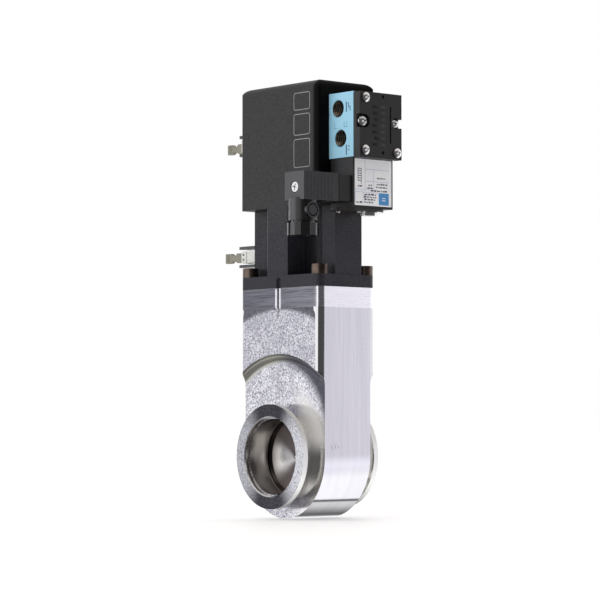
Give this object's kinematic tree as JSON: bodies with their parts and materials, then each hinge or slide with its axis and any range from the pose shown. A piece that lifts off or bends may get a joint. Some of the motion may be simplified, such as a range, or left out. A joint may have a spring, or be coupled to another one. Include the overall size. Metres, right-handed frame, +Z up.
{
  "type": "pneumatic gate valve",
  "caption": "Flanged vacuum gate valve: a double-plate gate lifted by an air cylinder, with a side-mounted solenoid pilot valve and plug-in position switches.",
  "frame": {"origin": "centre of the front clamp flange's face, on the flow axis", "axes": "+Z up along the stem, the way the gate lifts; -Y out of the front flange; +X towards the pilot valve"},
  "size_m": [0.1187, 0.0725, 0.2294],
  "materials": {
    "body_aluminium": "machined, frosted facing",
    "bonnet_aluminium": "brushed",
    "black_anodised": "matt black anodised",
    "dark_cap": "matt black anodised",
    "screw_bronze": "bronze-toned plating",
    "stainless": "ground",
    "polished_plate": "polished",
    "bearing_bronze": "sintered",
    "seal_rubber": "smooth",
    "piston_aluminium": "turned",
    "guide_plastic": "smooth",
    "magnet": "bonded magnet",
    "nut_brass": "turned",
    "valve_block_blue": "satin light blue",
    "gasket": "sheet",
    "black_plastic": "moulded, satin",
    "screw_silver": "bright zinc plating",
    "copper_wire": "enamelled wire",
    "label": "silver film with a printed grid",
    "contact": "tinned",
    "connector_plastic": "moulded, fine ribs",
    "white_plastic": "moulded",
    "tan_plastic": "moulded",
    "switch_green": "lacquered"
  },
  "bodies": {
    "valve_housing": {"valve_body": "body_aluminium", "bonnet_plate": "bonnet_aluminium", "bonnet_seal": "seal_rubber", "shaft_bush": "bearing_bronze", "shaft_seals": "seal_rubber", "seal_retainer": "stainless", "cap_screws": "screw_bronze", "actuator_housing": "black_anodised", "rod_bush": "bearing_bronze", "rod_seal": "seal_rubber", "cylinder_cap": "dark_cap", "cap_seal": "seal_rubber", "cap_ring": "stainless", "pilot_gasket": "gasket", "pilot_body": "valve_block_blue", "cover_gasket": "gasket", "pilot_cover": "black_plastic", "cover_screws": "screw_silver", "mounting_screws": "screw_silver", "coil_housing": "black_plastic", "coil_winding": "copper_wire", "core_tube": "stainless", "fixed_core": "stainless", "armature_spring": "stainless", "coil_bracket": "dark_cap", "bracket_stud": "screw_silver", "wave_washer": "screw_silver", "coil_nut": "screw_silver", "coil_label": "label", "plug_gasket": "gasket", "plug_housing": "connector_plastic", "plug_contacts": "contact", "plug_screw": "screw_silver", "gland_seal": "seal_rubber", "gland_nut": "connector_plastic", "switch_headers": "connector_plastic", "switch_plugs": "white_plastic", "pull_tabs": "tan_plastic", "reed_switches": "switch_green"},
    "gate_drive": {"stem": "stainless", "stem_pin": "stainless", "gate_carriage": "stainless", "lock_balls": "stainless", "piston": "piston_aluminium", "piston_guide": "guide_plastic", "piston_seal": "seal_rubber", "piston_magnet": "magnet", "piston_nut": "nut_brass"},
    "seat_plate": {"gate_disc": "polished_plate", "gate_seal": "seal_rubber", "tie_bolt": "polished_plate", "tie_nut": "stainless", "tie_spring": "stainless"},
    "back_plate": {"counter_plate": "polished_plate"},
    "armature_group": {"armature": "stainless", "pilot_spool": "stainless"}
  },
  "joints": [
    {"name": "gate_lift", "type": "slide", "parent": "valve_housing", "child": "gate_drive", "axis": [0, 0, 1], "range_m": [0, 0.044]},
    {"name": "disc_clamp", "type": "slide", "parent": "gate_drive", "child": "seat_plate", "axis": [0, 1, 0], "range_m": [0, 0.0006]},
    {"name": "counter_clamp", "type": "slide", "parent": "gate_drive", "child": "back_plate", "axis": [0, -1, 0], "range_m": [0, 0.0006]},
    {"name": "armature_stroke", "type": "slide", "parent": "valve_housing", "child": "armature_group", "axis": [0, 0, -1], "range_m": [0, 0.0015], "stiffness_N_per_m": 400, "springref_m": -0.004, "deforming": ["armature_spring"]}
  ],
  "couplings": [
    {"joint": "disc_clamp", "follows": "gate_lift", "ratio": 0.0136},
    {"joint": "counter_clamp", "follows": "gate_lift", "ratio": 0.0136}
  ]
}
